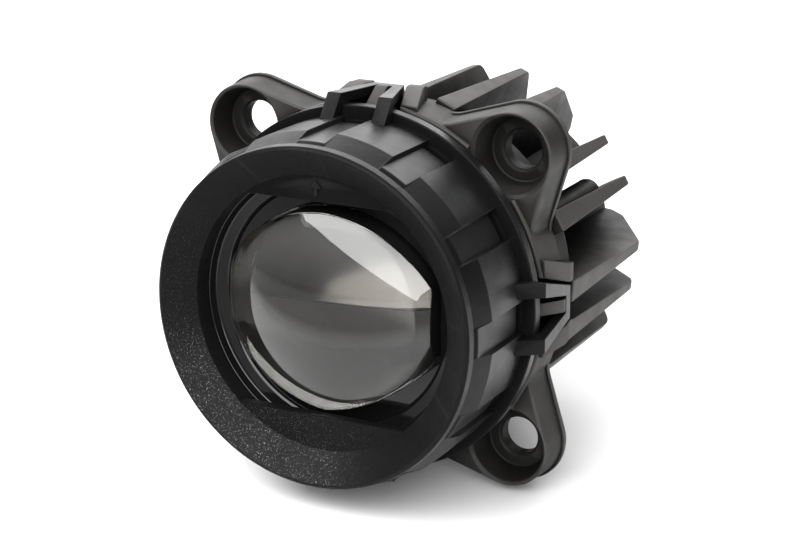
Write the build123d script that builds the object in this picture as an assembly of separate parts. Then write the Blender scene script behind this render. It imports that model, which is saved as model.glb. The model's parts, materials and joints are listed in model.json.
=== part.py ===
from build123d import *
import math
import os

# Fog light module, 60 mm projector class, millimetres.
# Frame: the light shines towards -Y, +Z is up, +X is to the right when looking along +Y.
# The origin is on the optical axis, in the plane of the four mounting pads.
# Inside this file every piece is drawn with "depth" = distance behind the bezel's front plane;
# place() moves it into the frame, where the mounting pads lie at Y = 0.

# ---- driving dimensions ----
PAD_DEPTH = 40.3          # bezel front plane to mounting pads
AIR = 0.3                 # gap between separate pieces that only face each other
LIGHT_R = 30.0            # light opening of the bezel, the 60 mm class size

# bezel
RIM_R = 37.0
DISH_DEPTH = 5.0
BARREL_R = 38.8
GROOVE_R = 37.7
BORE_R = 36.0
FLANGE_R = 40.9
FLANGE_FRONT = 24.3
FLANGE_BACK = 27.0
TOP_FLAT_Z = 24.5
BOTTOM_FLAT_Z = -22.5
FLAT_THICK = 2.6
WEB_BACK = 9.5
GROOVES = 12
GROOVE_HALF_ANGLE = 5.0
SLOT_FRONT = 21.8

# snap loops of the bezel and catches of the casting
LOOPS = 4
LOOP_ROOT = 20.2
LOOP_KNEE = 24.0
LOOP_TOP_X = 43.3
LOOP_THICK = 2.2
LOOP_END = 37.5
LOOP_HALF_FRONT = 7.8
LOOP_HALF_END = 3.7
WINDOW_HALF_FRONT = 4.5
WINDOW_HALF_END = 1.9
WINDOW_END = 35.0
CATCH_HALF = 1.45

# projection lens
LENS_APEX = 0.8
DOME_R = 39.7
LENS_HALF_X = 24.2
LENS_TOP_Z = 21.6
LENS_BOTTOM_Z = -22.0
LENS_RIM_FRONT = 14.0
LENS_RIM_BACK = 17.0
LENS_RIM_R = 27.0
LENS_BULGE = 1.2

# lens holder
HOLDER_R = 34.0
HOLDER_WALL_R = 31.5
HOLDER_BACK = 38.9
LUG_R = 29.0
LUG_ANGLES = (90, 210, 330)

# casting: heat sink with ears, catches and fins
RING_R = 41.0
RING_FRONT = 28.5
RING_BACK = 39.0
CAVITY_R = 34.5
LEDGE_DEPTH = 40.6
LEDGE_R = 32.5
FLOOR_DEPTH = 46.4
FLOOR_BACK = 52.0
CUP_R = 38.0
CORE_R = 26.5
CORE_BACK = 75.0          # end of the solid core, floor of the rear well
CORE_END = 100.0          # end of the walls around the well
WELL_R = 23.4
EAR_HALF_SPACING = 32.3
EAR_R = 9.8
EAR_FRONT = 29.5
EAR_BACK = 38.6
EAR_NECK_ANGLE = 22.0
EAR_LIP = 0.5
EAR_LIP_FRONT = 37.3
PAD_R = 9.0
PAD_ROOM = 0.4            # the fins stay this far outside the pads
PAD_ROOM_DEPTH = 5.0      # and this far behind them, for the carrier plate
RECESS_R = 8.5
RECESS_FLOOR_R = 7.0
RECESS_FLOOR = 36.2
BOLT_HOLE_R = 4.25

# fins: ten pairs of parallel plates, the same on both halves of the turn, inside a circle with six flats
FIN_PAIRS = (-38.5, -5.0, 30.0, 65.0, 98.5)
FIN_OFFSET = 5.2          # each plate's distance from the middle plane of its pair
FIN_INNER = 24.2
FIN_FLATS = ((90, 39.7), (120, 34.4), (150, 39.7))
FIN_R = 43.0
FIN_FRONT = 39.5
FIN_ROOT_THICK = 4.9
FIN_TIP_THICK = 0.9
FIN_CORNER_DEPTH = 79.0
TALL_MIDDLE = 30.0        # fins within TALL_SPREAD of this angle reach the core's end
TALL_SPREAD = 35.0
LOW_CHAMFER_R = 34.4
LOW_CHAMFER_DEPTH = 87.6
LOW_CHAMFER_SLOPE = 0.85
COLUMN_R = 3.2
COLUMN_CENTRE_R = 35.5
COLUMN_BACK = 73.0
COLUMN_ANGLE = 24.1

# light engine
EMITTER_BOARD_R = 14.8
EMITTER_BOARD_FRONT = 44.2
EMITTER_BOARD_BACK = 45.8
BOARD_SCREW_RADIUS = 11.6
BOARD_SCREW_ANGLES = (30, 150, 270)
DRIVER_BOARD_FRONT = 39.0
DRIVER_INNER_R = 14.2
DRIVER_OUTER_R = 33.8

# rear connector
HEADER_Z = -16.5
HEADER_X_SIZE = 19.4
HEADER_Z_SIZE = 13.4
POCKET_DEPTH = 60.0
HEADER_BACK = 98.0
SOCKET_DEPTH = 74.0
SOCKET_X_SIZE = 15.0
SOCKET_Z_SIZE = 9.0
STEM_X_SIZE = 11.4
STEM_Z_SIZE = 3.4
PIN_X = 3.5
HEADER_SCREW_X = 13.2
VENT_Z = 17.5


# ---- helpers ----
def place(shape):
    return Pos(0, -PAD_DEPTH, 0) * shape


def save(shape, node):
    export_step(place(shape), "parts/" + node + ".step")


def ring(*points):
    """Solid of revolution about the optical axis from (radius, depth) points."""
    return revolve(make_face(Polyline(*points, close=True)), Axis.Y, 360)


def slab(sketch, front, back):
    """Sketch drawn in (X, Z), extruded from one depth to the other."""
    return extrude(Plane.XZ.offset(-back) * sketch, amount=back - front)


def rod(x, z, radius, front, back):
    return slab(Pos(x, z) * Circle(radius), front, back)


def block(x_size, z_size, x, z, front, back):
    return slab(Pos(x, z) * Rectangle(x_size, z_size), front, back)


def turn(angle):
    """Rotation about the optical axis, from +X towards +Z."""
    return Rot(0, -angle, 0)


def polar(radius, angle):
    return radius * math.cos(math.radians(angle)), radius * math.sin(math.radians(angle))


def side_plate(points, half_width):
    """Polygon in (X, depth), thickened by half_width to both sides of Z = 0."""
    return extrude(make_face(Polyline(*points, close=True)), amount=half_width, both=True)


def plan_plate(points, x_low, x_high):
    """Polygon in (depth, Z), extruded along X."""
    face = Plane.YZ.offset(x_low) * make_face(Polyline(*points, close=True))
    return extrude(face, amount=x_high - x_low)


# ---- bezel ----
def snap_loop():
    """Loop at +X: two prongs rise from the barrel, pass the flange and join behind the catch."""
    under = LOOP_TOP_X - LOOP_THICK
    side = side_plate(
        [(BORE_R + 1.0, LOOP_ROOT), (BARREL_R - 0.6, LOOP_ROOT), (LOOP_TOP_X, LOOP_KNEE),
         (LOOP_TOP_X, LOOP_END), (under, LOOP_END), (under, FLANGE_BACK), (BORE_R + 1.0, FLANGE_BACK)],
        LOOP_HALF_FRONT + 1)
    front_out = LOOP_HALF_FRONT
    outline = plan_plate(
        [(LOOP_ROOT - 1, -front_out), (LOOP_KNEE, -front_out), (LOOP_END, -LOOP_HALF_END),
         (LOOP_END, LOOP_HALF_END), (LOOP_KNEE, front_out), (LOOP_ROOT - 1, front_out)],
        BORE_R, LOOP_TOP_X + 1)
    window = plan_plate(
        [(LOOP_ROOT - 2, -WINDOW_HALF_FRONT), (LOOP_KNEE, -WINDOW_HALF_FRONT), (WINDOW_END, -WINDOW_HALF_END),
         (WINDOW_END, WINDOW_HALF_END), (LOOP_KNEE, WINDOW_HALF_FRONT), (LOOP_ROOT - 2, WINDOW_HALF_FRONT)],
        BORE_R, LOOP_TOP_X + 1)
    return (side & outline) - window


def light_flat(z_edge):
    """Flat segment of the light opening beyond a horizontal chord, with its face at the dish's inner edge."""
    reach = 2 * LIGHT_R
    centre = z_edge + math.copysign(reach / 2, z_edge)
    segment = Circle(LIGHT_R + 0.5) & (Pos(0, centre) * Rectangle(2 * reach, reach))
    return slab(segment, DISH_DEPTH, DISH_DEPTH + FLAT_THICK)


def front_bezel():
    body = ring(
        (RIM_R - 0.8, 0), (RIM_R, 0.7), (RIM_R + 0.2, 2.5), (BARREL_R, 8.0), (BARREL_R, FLANGE_FRONT),
        (FLANGE_R - 0.3, FLANGE_FRONT), (FLANGE_R, FLANGE_FRONT + 0.3), (FLANGE_R, FLANGE_BACK),
        (BORE_R, FLANGE_BACK), (BORE_R, WEB_BACK), (LIGHT_R, WEB_BACK), (LIGHT_R, DISH_DEPTH))
    body += light_flat(TOP_FLAT_Z)
    body += light_flat(BOTTOM_FLAT_Z)
    reach = BARREL_R + 4
    half = reach * math.tan(math.radians(GROOVE_HALF_ANGLE))
    wedge = Polygon((0, 0), (reach, -half), (reach, half), align=None)
    groove = slab(wedge - Circle(GROOVE_R), 1.0, SLOT_FRONT)
    slot = slab(wedge - Circle(BORE_R - 1), SLOT_FRONT, FLANGE_FRONT - 0.4)
    for index in range(GROOVES):
        body -= turn(index * 360 / GROOVES) * groove
        body -= turn(index * 360 / GROOVES) * slot
    loop = snap_loop()
    for index in range(LOOPS):
        body += turn(index * 360 / LOOPS) * loop
    return body


def bezel_gasket():
    front = FLANGE_BACK + 0.05
    back = RING_FRONT - 0.05
    return ring((36.3, front), (39.6, front), (39.6, back), (36.3, back))


# ---- lens and its holder ----
def lens_outline(grow=0.0):
    """Outline of the lens: two upright sides, and bowed upper and lower sides that meet on the centre line."""
    half = LENS_HALF_X + grow
    top = LENS_TOP_Z + grow
    bottom = LENS_BOTTOM_Z - grow
    shoulder = 7.0
    bow = 0.72 * (half - 3.0)
    rise = 0.72 * (top + grow / 2)
    drop = 0.72 * (bottom - grow / 2)
    right = Line((half, -shoulder), (half, shoulder))
    top_right = ThreePointArc((half, shoulder), (bow, rise), (0, top))
    top_left = ThreePointArc((0, top), (-bow, rise), (-half, shoulder))
    left = Line((-half, shoulder), (-half, -shoulder))
    bottom_left = ThreePointArc((-half, -shoulder), (-bow, drop), (0, bottom))
    bottom_right = ThreePointArc((0, bottom), (bow, drop), (half, -shoulder))
    return make_face([right, top_right, top_left, left, bottom_left, bottom_right])


def projection_lens():
    dome = Pos(0, LENS_APEX + DOME_R, 0) * Sphere(DOME_R)
    body = slab(lens_outline(), LENS_APEX - 1, LENS_RIM_FRONT + 1) & dome
    rim = ring((0, LENS_RIM_FRONT), (LENS_RIM_R, LENS_RIM_FRONT), (LENS_RIM_R, LENS_RIM_BACK),
               (0, LENS_RIM_BACK))
    edge = LENS_RIM_R - 4
    radius = (edge ** 2 + LENS_BULGE ** 2) / (2 * LENS_BULGE)
    back = Pos(0, LENS_RIM_BACK + LENS_BULGE - radius, 0) * Sphere(radius)
    bulge = ring((0, LENS_RIM_BACK - 0.5), (edge, LENS_RIM_BACK - 0.5), (edge, LENS_RIM_BACK + 2),
                 (0, LENS_RIM_BACK + 2)) & back
    return body + rim + bulge


def inner_trim():
    """Glossy funnel between the bezel and the lens, which also holds the lens in its holder."""
    front = WEB_BACK + 0.2
    back = LENS_RIM_FRONT - 0.2
    shell = ring((HOLDER_R, front), (LIGHT_R - 0.2, front), (27.0, 11.9), (26.6, 12.3), (26.4, 13.0),
                 (18.0, 13.0), (18.0, back), (HOLDER_R, back))
    return shell - slab(lens_outline(AIR), 0, 20)


def lens_seal():
    front = LENS_RIM_BACK + 0.05
    return ring((24.8, front), (LENS_RIM_R, front), (LENS_RIM_R, front + 1.2), (24.8, front + 1.2))


def lens_holder():
    front = LENS_RIM_FRONT
    ledge = LENS_RIM_BACK + 1.3
    body = ring(
        (LENS_RIM_R + 0.2, front), (HOLDER_R, front), (HOLDER_R, HOLDER_BACK), (HOLDER_WALL_R, HOLDER_BACK),
        (HOLDER_WALL_R, ledge + 2.2), (24.0, ledge + 2.2), (24.0, ledge), (LENS_RIM_R + 0.2, ledge))
    for angle in LUG_ANGLES:
        x, z = polar(LUG_R, angle)
        lug = rod(x, z, 3.6, HOLDER_BACK - 2.0, HOLDER_BACK)
        web = turn(angle) * block(5.0, 7.2, LUG_R + 2.3, 0, HOLDER_BACK - 2.0, HOLDER_BACK)
        body += lug + (web & rod(0, 0, HOLDER_R - 0.5, 0, 60))
        body -= rod(x, z, 1.6, HOLDER_BACK - 3, HOLDER_BACK + 1)
    return body


def holder_seal():
    front = FLANGE_BACK + 0.1
    back = RING_FRONT - 0.05
    return ring((HOLDER_R + 0.05, front), (BORE_R - 0.05, front), (BORE_R - 0.05, back), (HOLDER_R + 0.05, back))


def optic_screws():
    screws = []
    for angle in LUG_ANGLES:
        x, z = polar(LUG_R, angle)
        head = rod(x, z, 2.7, HOLDER_BACK - 4.2, HOLDER_BACK - 2.05)
        head -= rod(x, z, 1.2, HOLDER_BACK - 5, HOLDER_BACK - 3.0)
        screws.append(head + rod(x, z, 1.45, HOLDER_BACK - 2.1, HOLDER_BACK + 6.0))
    return Compound(children=screws)


def cutoff_shield():
    """Sheet plate behind the lens with the stepped window that shapes the beam."""
    front = LENS_RIM_BACK + 3.6
    plate = Circle(HOLDER_WALL_R - 0.1)
    window = Circle(19.0) & (Pos(0, 9.0) * Rectangle(60, 21.0))
    return slab(plate - window, front, front + 0.8)


def reflector():
    front = 27.0
    neck = 43.6
    outer = Spline((21.6, front), (17.2, 34.0), (12.6, 39.5), (8.4, neck))
    inner = Spline((7.0, neck), (11.2, 39.2), (15.8, 33.7), (20.2, front))
    face = make_face([outer, Line((8.4, neck), (7.0, neck)), inner, Line((20.2, front), (21.6, front))])
    bowl = revolve(face, Axis.Y, 360)
    for angle in BOARD_SCREW_ANGLES:
        x, z = polar(BOARD_SCREW_RADIUS, angle)
        bowl += turn(angle) * block(6.0, 6.0, BOARD_SCREW_RADIUS - 1.2, 0, 42.4, neck)
        bowl += rod(x, z, 3.0, 42.4, neck)
        bowl -= rod(x, z, 1.6, 41, neck + 1)
    return bowl - rod(0, 0, 7.0, 42, neck + 1)


# ---- light engine ----
def emitter_board():
    board = rod(0, 0, EMITTER_BOARD_R, EMITTER_BOARD_FRONT, EMITTER_BOARD_BACK)
    for angle in BOARD_SCREW_ANGLES:
        x, z = polar(BOARD_SCREW_RADIUS, angle)
        board -= rod(x, z, 1.6, 40, 50)
    return board


def emitters():
    chips = []
    for x in (-1.9, 1.9):
        for z in (-1.9, 1.9):
            base = block(3.4, 3.4, x, z, EMITTER_BOARD_FRONT - 0.75, EMITTER_BOARD_FRONT - 0.05)
            top = block(2.2, 2.2, x, z, EMITTER_BOARD_FRONT - 1.0, EMITTER_BOARD_FRONT - 0.7)
            chips.append(base + top)
    return Compound(children=chips)


def board_screws():
    screws = []
    for angle in BOARD_SCREW_ANGLES:
        x, z = polar(BOARD_SCREW_RADIUS, angle)
        head = rod(x, z, 2.7, 40.3, 42.35)
        head -= rod(x, z, 1.2, 40, 41.4)
        screws.append(head + rod(x, z, 1.45, 42.3, 50.0))
    return Compound(children=screws)


def thermal_pad():
    pad = rod(0, 0, EMITTER_BOARD_R, EMITTER_BOARD_BACK + 0.05, FLOOR_DEPTH - 0.05)
    for angle in BOARD_SCREW_ANGLES:
        x, z = polar(BOARD_SCREW_RADIUS, angle)
        pad -= rod(x, z, 1.8, 40, 50)
    return pad


def driver_board():
    board = rod(0, 0, DRIVER_OUTER_R, DRIVER_BOARD_FRONT, LEDGE_DEPTH - 0.05)
    board -= rod(0, 0, DRIVER_INNER_R, 30, 50)
    for angle in LUG_ANGLES:
        x, z = polar(LUG_R, angle)
        board -= rod(x, z, 3.4, 30, 50)
    for x in (-PIN_X, PIN_X):
        board -= block(3.0, 1.0, x, HEADER_Z, 30, 50)
    return board


def driver_components():
    """Parts soldered on the front of the driver board: coil, capacitors, control chips and resistors."""
    top = DRIVER_BOARD_FRONT - 0.05
    x, z = polar(25.5, 20)
    parts = [rod(x, z, 3.6, top - 4.2, top)]
    for angle in (130, 150):
        x, z = polar(25.5, angle)
        parts.append(rod(x, z, 2.6, top - 5.4, top))
    for angle in (0, 45, 180):
        parts.append(turn(angle) * block(5.0, 5.0, 24.5, 0, top - 1.2, top))
    for angle in (240, 250, 292, 300):
        parts.append(turn(angle) * block(3.2, 1.8, 26.0, 0, top - 0.9, top))
    return Compound(children=parts)


def jumper_leads():
    """Two bent strips from the driver board down to the emitter board."""
    leads = []
    for x in (-1.6, 1.6):
        foot = block(0.9, 2.6, x, 13.2, EMITTER_BOARD_FRONT - 0.55, EMITTER_BOARD_FRONT - 0.05)
        riser = block(0.9, 0.5, x, 14.25, LEDGE_DEPTH + 0.3, EMITTER_BOARD_FRONT - 0.05)
        pad = block(0.9, 3.2, x, 15.6, LEDGE_DEPTH, LEDGE_DEPTH + 0.5)
        leads.append(foot + riser + pad)
    return Compound(children=leads)


# ---- casting ----
def ear_outline(grow=0.0):
    """Ear at +45 degrees with straight sides that leave the ring and touch the rounded tip."""
    centre = EAR_HALF_SPACING
    tip_r = EAR_R + grow
    distance = math.hypot(centre, centre)
    neck_r = RING_R - 0.6 + grow
    neck_x, neck_z = polar(neck_r, EAR_NECK_ANGLE)
    reach = math.hypot(centre - neck_x, centre - neck_z)
    heading = math.degrees(math.atan2(centre - neck_z, centre - neck_x))
    swing = math.degrees(math.asin(tip_r / reach))
    touch = math.sqrt(reach ** 2 - tip_r ** 2)
    dx, dz = polar(touch, heading - swing)
    touch_x = neck_x + dx
    touch_z = neck_z + dz
    plate = Polygon((neck_x, neck_z), (touch_x, touch_z), (centre, centre), (touch_z, touch_x),
                    (neck_z, neck_x), (0, 0), align=None)
    return plate + Pos(centre, centre) * Circle(tip_r), distance


def ears():
    wall, _ = ear_outline()
    lip, _ = ear_outline(EAR_LIP)
    ear = slab(wall, EAR_FRONT, EAR_BACK) + slab(lip, EAR_LIP_FRONT, EAR_BACK)
    centre = EAR_HALF_SPACING
    ear += rod(centre, centre, PAD_R, EAR_BACK - 0.5, PAD_DEPTH)
    return ear


def ear_recess():
    """Conical recess for a bolt head, with the bolt hole through its floor."""
    hole = ring((0, EAR_FRONT - 3), (RECESS_R + 0.6, EAR_FRONT - 3), (RECESS_FLOOR_R, RECESS_FLOOR),
                (BOLT_HOLE_R, RECESS_FLOOR), (BOLT_HOLE_R, PAD_DEPTH + 3), (0, PAD_DEPTH + 3))
    return Pos(EAR_HALF_SPACING, 0, EAR_HALF_SPACING) * hole


def loop_notch():
    """Notch in the casting's ring at +X that gives the snap loop room."""
    slope = (LOOP_HALF_FRONT - LOOP_HALF_END) / (LOOP_END - LOOP_KNEE)
    front_half = LOOP_HALF_FRONT + 0.8 - slope * (RING_FRONT - LOOP_KNEE)
    back_half = LOOP_HALF_END + 0.6
    return plan_plate(
        [(RING_FRONT - 1, -front_half), (RING_FRONT, -front_half), (LOOP_END + 0.6, -back_half),
         (LOOP_END + 0.6, back_half), (RING_FRONT, front_half), (RING_FRONT - 1, front_half)],
        CUP_R - 0.6, RING_R + 4)


def catch():
    """Ramp that the loop rides over, with its stop face just in front of the loop's bar."""
    foot = CUP_R - 1.5
    return side_plate(
        [(foot, RING_FRONT), (CUP_R + 1.8, RING_FRONT), (LOOP_TOP_X + 0.1, WINDOW_END - 1.2),
         (LOOP_TOP_X + 0.1, WINDOW_END - AIR), (foot, WINDOW_END - AIR)],
        CATCH_HALF)


def fin_reach(middle, offset):
    """Distance of a plate's outer edge from the axis, along its pair's middle plane."""
    reach = math.sqrt(FIN_R ** 2 - offset ** 2)
    for flat, distance in FIN_FLATS:
        for facing in (flat, flat + 180):
            off = math.radians(middle - facing)
            if math.cos(off) > 0.1:
                reach = min(reach, (distance + offset * math.sin(off)) / math.cos(off))
    return reach


def fin(middle, offset):
    """Plate beside its pair's middle plane, thick at its root and thin at the back, with a sloping back corner."""
    reach = fin_reach(middle, offset)
    angle = middle + math.degrees(math.atan2(offset, reach))
    front = [(FIN_INNER, FLOOR_BACK - 2), (reach, FLOOR_BACK - 2)]
    if math.hypot(reach, offset) > CUP_R:
        front = [(FIN_INNER, FLOOR_BACK - 2), (CUP_R - 1.5, FLOOR_BACK - 2), (CUP_R - 1.5, FIN_FRONT),
                 (reach, FIN_FRONT)]
    if abs(angle - TALL_MIDDLE) < TALL_SPREAD:
        back = [(reach, FIN_CORNER_DEPTH), (31.5, 97.0), (27.5, CORE_END), (FIN_INNER, CORE_END)]
    else:
        corner = LOW_CHAMFER_DEPTH - LOW_CHAMFER_SLOPE * (reach - LOW_CHAMFER_R)
        back = [(reach, corner), (28.0, 93.0), (FIN_INNER, 93.0)]
    outline = make_face(Polyline(*front, *back, close=True))
    corners = outline.vertices().filter_by(lambda v: v.X > reach - 0.1 and v.Y > 70)
    outline = fillet(corners, 4.0)
    plate = extrude(outline, amount=FIN_ROOT_THICK, both=True)
    root = FIN_ROOT_THICK / 2
    tip = FIN_TIP_THICK / 2
    taper = plan_plate([(FIN_FRONT, -root), (CORE_END, -tip), (CORE_END, tip), (FIN_FRONT, root)], 0, FIN_R + 1)
    return turn(middle) * (Pos(0, 0, offset) * (plate & taper))


def rear_walls():
    """Wall around the rear well, open between the two plates of each pair."""
    wall = ring((WELL_R, CORE_BACK), (CORE_R, CORE_BACK), (CORE_R, CORE_END), (WELL_R, CORE_END))
    channel = block(30.0, 2 * FIN_OFFSET, 30.0, 0, CORE_BACK - 1, CORE_END + 1)
    for middle in FIN_PAIRS:
        wall -= turn(middle) * channel
        wall -= turn(middle + 180) * channel
    return wall - header_room()


def header_room():
    """Space of the plug socket and its screw lugs, behind the core."""
    room = block(HEADER_X_SIZE + 0.6, HEADER_Z_SIZE + 0.6, 0, HEADER_Z, POCKET_DEPTH, 120)
    for x in (-HEADER_SCREW_X, HEADER_SCREW_X):
        room += rod(x, HEADER_Z, 3.8, CORE_BACK, 120)
    return room


def casting_core():
    """The casting without its fins, before the holes are cut."""
    body = ring(
        (CAVITY_R, RING_FRONT), (RING_R, RING_FRONT), (RING_R, RING_BACK), (CUP_R, RING_BACK),
        (CUP_R, FLOOR_BACK - 2), (CUP_R - 2, FLOOR_BACK), (CORE_R, FLOOR_BACK), (CORE_R, CORE_BACK),
        (0, CORE_BACK), (0, FLOOR_DEPTH), (LEDGE_R, FLOOR_DEPTH), (LEDGE_R, LEDGE_DEPTH),
        (CAVITY_R, LEDGE_DEPTH))
    ear = ears() - rod(0, 0, CUP_R - 1, 0, 120)
    notch = loop_notch()
    tooth = catch()
    for index in range(4):
        body += turn(index * 90) * ear
    for index in range(LOOPS):
        body -= turn(index * 360 / LOOPS) * notch
        body += turn(index * 360 / LOOPS) * tooth
    return body


def heat_sink():
    body = casting_core()
    recess = ear_recess()
    for index in range(4):
        body -= turn(index * 90) * recess
    for angle in LUG_ANGLES:
        x, z = polar(LUG_R, angle)
        body += rod(x, z, 3.0, HOLDER_BACK + 0.05, FLOOR_DEPTH + 0.5)
        body -= rod(x, z, 1.5, HOLDER_BACK - 1, FLOOR_DEPTH + 0.2)
    for angle in BOARD_SCREW_ANGLES:
        x, z = polar(BOARD_SCREW_RADIUS, angle)
        body -= rod(x, z, 1.5, FLOOR_DEPTH - 1, 51.0)
    for x in (-HEADER_SCREW_X, HEADER_SCREW_X):
        body -= rod(x, HEADER_Z, 1.5, CORE_BACK - 10, CORE_BACK + 1)
    body -= header_room()
    body -= block(STEM_X_SIZE + 0.4, STEM_Z_SIZE + 0.4, 0, HEADER_Z, FLOOR_DEPTH - 1, POCKET_DEPTH + 1)
    body -= rod(0, VENT_Z, 2.2, FLOOR_DEPTH - 1, CORE_BACK + 1)
    return body


def heat_sink_fins():
    """Fins and rear walls, cast in one with the heat sink; a solid each, so that the gaps stay open."""
    core = casting_core()
    walls = rear_walls()
    column = rod(COLUMN_CENTRE_R, 0, COLUMN_R, FLOOR_BACK - 4, COLUMN_BACK)
    centre = EAR_HALF_SPACING
    room = rod(centre, centre, PAD_R + PAD_ROOM, FIN_FRONT - 1, PAD_DEPTH + PAD_ROOM_DEPTH)
    solids = list(walls.solids())
    for half_turn in (0, 180):
        for middle in FIN_PAIRS:
            for offset in (-FIN_OFFSET, FIN_OFFSET):
                plate = fin(middle, offset)
                angle = middle + math.degrees(math.atan2(offset, FIN_R))
                if abs(angle - COLUMN_ANGLE) < 2:
                    plate += turn(COLUMN_ANGLE) * column
                if abs(angle - 45) < 20:
                    plate -= room
                plate = turn(half_turn) * plate - core - walls - header_room()
                solids.append(max(plate.solids(), key=lambda solid: solid.volume))
    return Compound(children=solids)


# ---- rear connector and vent ----
def connector_header():
    """Socket with a keyed mouth at the back and a stem that carries the blades to the driver board."""
    shell = block(HEADER_X_SIZE, HEADER_Z_SIZE, 0, HEADER_Z, POCKET_DEPTH + 1.3, HEADER_BACK)
    shell = fillet(shell.edges().filter_by(Axis.Y), 2.0)
    shell += block(STEM_X_SIZE, STEM_Z_SIZE, 0, HEADER_Z, FLOOR_DEPTH + 0.2, POCKET_DEPTH + 2)
    for x in (-HEADER_SCREW_X, HEADER_SCREW_X):
        shell += rod(x, HEADER_Z, 3.3, CORE_BACK + 0.1, CORE_BACK + 2.6)
        shell += block(6.0, 6.0, x * 0.76, HEADER_Z, CORE_BACK + 0.1, CORE_BACK + 2.6)
        shell -= rod(x, HEADER_Z, 1.7, CORE_BACK - 1, CORE_BACK + 4)
    shell += block(9.0, 1.2, 0, HEADER_Z + HEADER_Z_SIZE / 2 + 0.5, 88.0, 91.0)
    socket = block(SOCKET_X_SIZE, SOCKET_Z_SIZE, 0, HEADER_Z, SOCKET_DEPTH, HEADER_BACK + 1)
    shell -= fillet(socket.edges().filter_by(Axis.Y), 1.2)
    shell -= block(2.4, 1.2, 0, HEADER_Z + SOCKET_Z_SIZE / 2 + 0.5, SOCKET_DEPTH, HEADER_BACK + 1)
    for x in (-PIN_X, PIN_X):
        shell -= block(2.9, 0.9, x, HEADER_Z, 40, SOCKET_DEPTH + 1)
    return shell


def connector_pins():
    pins = []
    for x in (-PIN_X, PIN_X):
        pin = block(2.8, 0.8, x, HEADER_Z, DRIVER_BOARD_FRONT - 1.2, 90.0)
        tip = pin.edges().filter_by(Axis.X).sort_by(Axis.Y)[-2:]
        pins.append(chamfer(tip, 0.25))
    return Compound(children=pins)


def connector_seal():
    front = POCKET_DEPTH + 0.05
    plate = block(HEADER_X_SIZE - 0.4, HEADER_Z_SIZE - 0.4, 0, HEADER_Z, front, front + 1.2)
    plate = fillet(plate.edges().filter_by(Axis.Y), 2.0)
    return plate - block(STEM_X_SIZE + 0.2, STEM_Z_SIZE + 0.2, 0, HEADER_Z, 50, 70)


def header_screws():
    screws = []
    for x in (-HEADER_SCREW_X, HEADER_SCREW_X):
        head = rod(x, HEADER_Z, 2.9, CORE_BACK + 2.65, CORE_BACK + 4.8)
        head -= rod(x, HEADER_Z, 1.3, CORE_BACK + 3.6, CORE_BACK + 6)
        screws.append(head + rod(x, HEADER_Z, 1.45, CORE_BACK - 8.0, CORE_BACK + 2.7))
    return Compound(children=screws)


def breather_vent():
    cap = rod(0, VENT_Z, 5.0, CORE_BACK + 0.1, CORE_BACK + 3.2)
    rim = cap.edges().filter_by(GeomType.CIRCLE).sort_by(Axis.Y)[-1]
    cap = chamfer(rim, 0.8)
    cap += rod(0, VENT_Z, 2.1, CORE_BACK - 7, CORE_BACK + 0.2)
    cap -= rod(0, VENT_Z, 1.3, CORE_BACK - 8, CORE_BACK + 1.6)
    for angle in (0, 90, 180, 270):
        x, z = polar(2.4, angle)
        cap -= rod(x, VENT_Z + z, 0.6, CORE_BACK + 2.2, CORE_BACK + 5)
    return cap


def vent_membrane():
    return rod(0, VENT_Z, 1.25, CORE_BACK + 1.1, CORE_BACK + 1.5)


NODES = {
    "front_bezel": front_bezel,
    "bezel_gasket": bezel_gasket,
    "inner_trim": inner_trim,
    "projection_lens": projection_lens,
    "lens_seal": lens_seal,
    "lens_holder": lens_holder,
    "holder_seal": holder_seal,
    "optic_screws": optic_screws,
    "cutoff_shield": cutoff_shield,
    "reflector": reflector,
    "emitter_board": emitter_board,
    "emitters": emitters,
    "board_screws": board_screws,
    "thermal_pad": thermal_pad,
    "driver_board": driver_board,
    "driver_components": driver_components,
    "jumper_leads": jumper_leads,
    "heat_sink": heat_sink,
    "heat_sink_fins": heat_sink_fins,
    "connector_header": connector_header,
    "connector_pins": connector_pins,
    "connector_seal": connector_seal,
    "header_screws": header_screws,
    "breather_vent": breather_vent,
    "vent_membrane": vent_membrane,
}

os.makedirs("parts", exist_ok=True)
for node, make in NODES.items():
    save(make(), node)
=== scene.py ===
import bpy
import bmesh
import json
import math
from mathutils import Matrix, Vector


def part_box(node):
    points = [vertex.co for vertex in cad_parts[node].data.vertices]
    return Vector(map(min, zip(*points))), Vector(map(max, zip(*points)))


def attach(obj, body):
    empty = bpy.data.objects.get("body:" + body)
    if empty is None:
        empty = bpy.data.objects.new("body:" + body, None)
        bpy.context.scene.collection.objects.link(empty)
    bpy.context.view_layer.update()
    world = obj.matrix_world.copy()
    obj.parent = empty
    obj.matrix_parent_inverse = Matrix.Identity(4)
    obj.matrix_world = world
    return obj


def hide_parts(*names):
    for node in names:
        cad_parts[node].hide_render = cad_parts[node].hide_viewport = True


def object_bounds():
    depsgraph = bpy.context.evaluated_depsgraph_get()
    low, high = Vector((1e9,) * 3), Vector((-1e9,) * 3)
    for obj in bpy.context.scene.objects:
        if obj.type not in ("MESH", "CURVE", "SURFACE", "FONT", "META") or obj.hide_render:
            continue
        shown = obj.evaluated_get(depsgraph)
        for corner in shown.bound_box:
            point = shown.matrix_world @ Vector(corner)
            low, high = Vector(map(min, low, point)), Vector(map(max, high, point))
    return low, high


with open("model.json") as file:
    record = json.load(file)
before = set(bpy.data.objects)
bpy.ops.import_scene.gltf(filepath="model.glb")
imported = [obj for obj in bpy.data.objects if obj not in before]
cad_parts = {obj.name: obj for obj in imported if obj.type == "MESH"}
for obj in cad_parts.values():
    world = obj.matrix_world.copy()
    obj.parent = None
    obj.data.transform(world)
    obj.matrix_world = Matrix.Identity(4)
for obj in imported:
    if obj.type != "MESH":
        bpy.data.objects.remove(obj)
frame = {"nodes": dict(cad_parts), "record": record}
cad_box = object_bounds()
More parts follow.
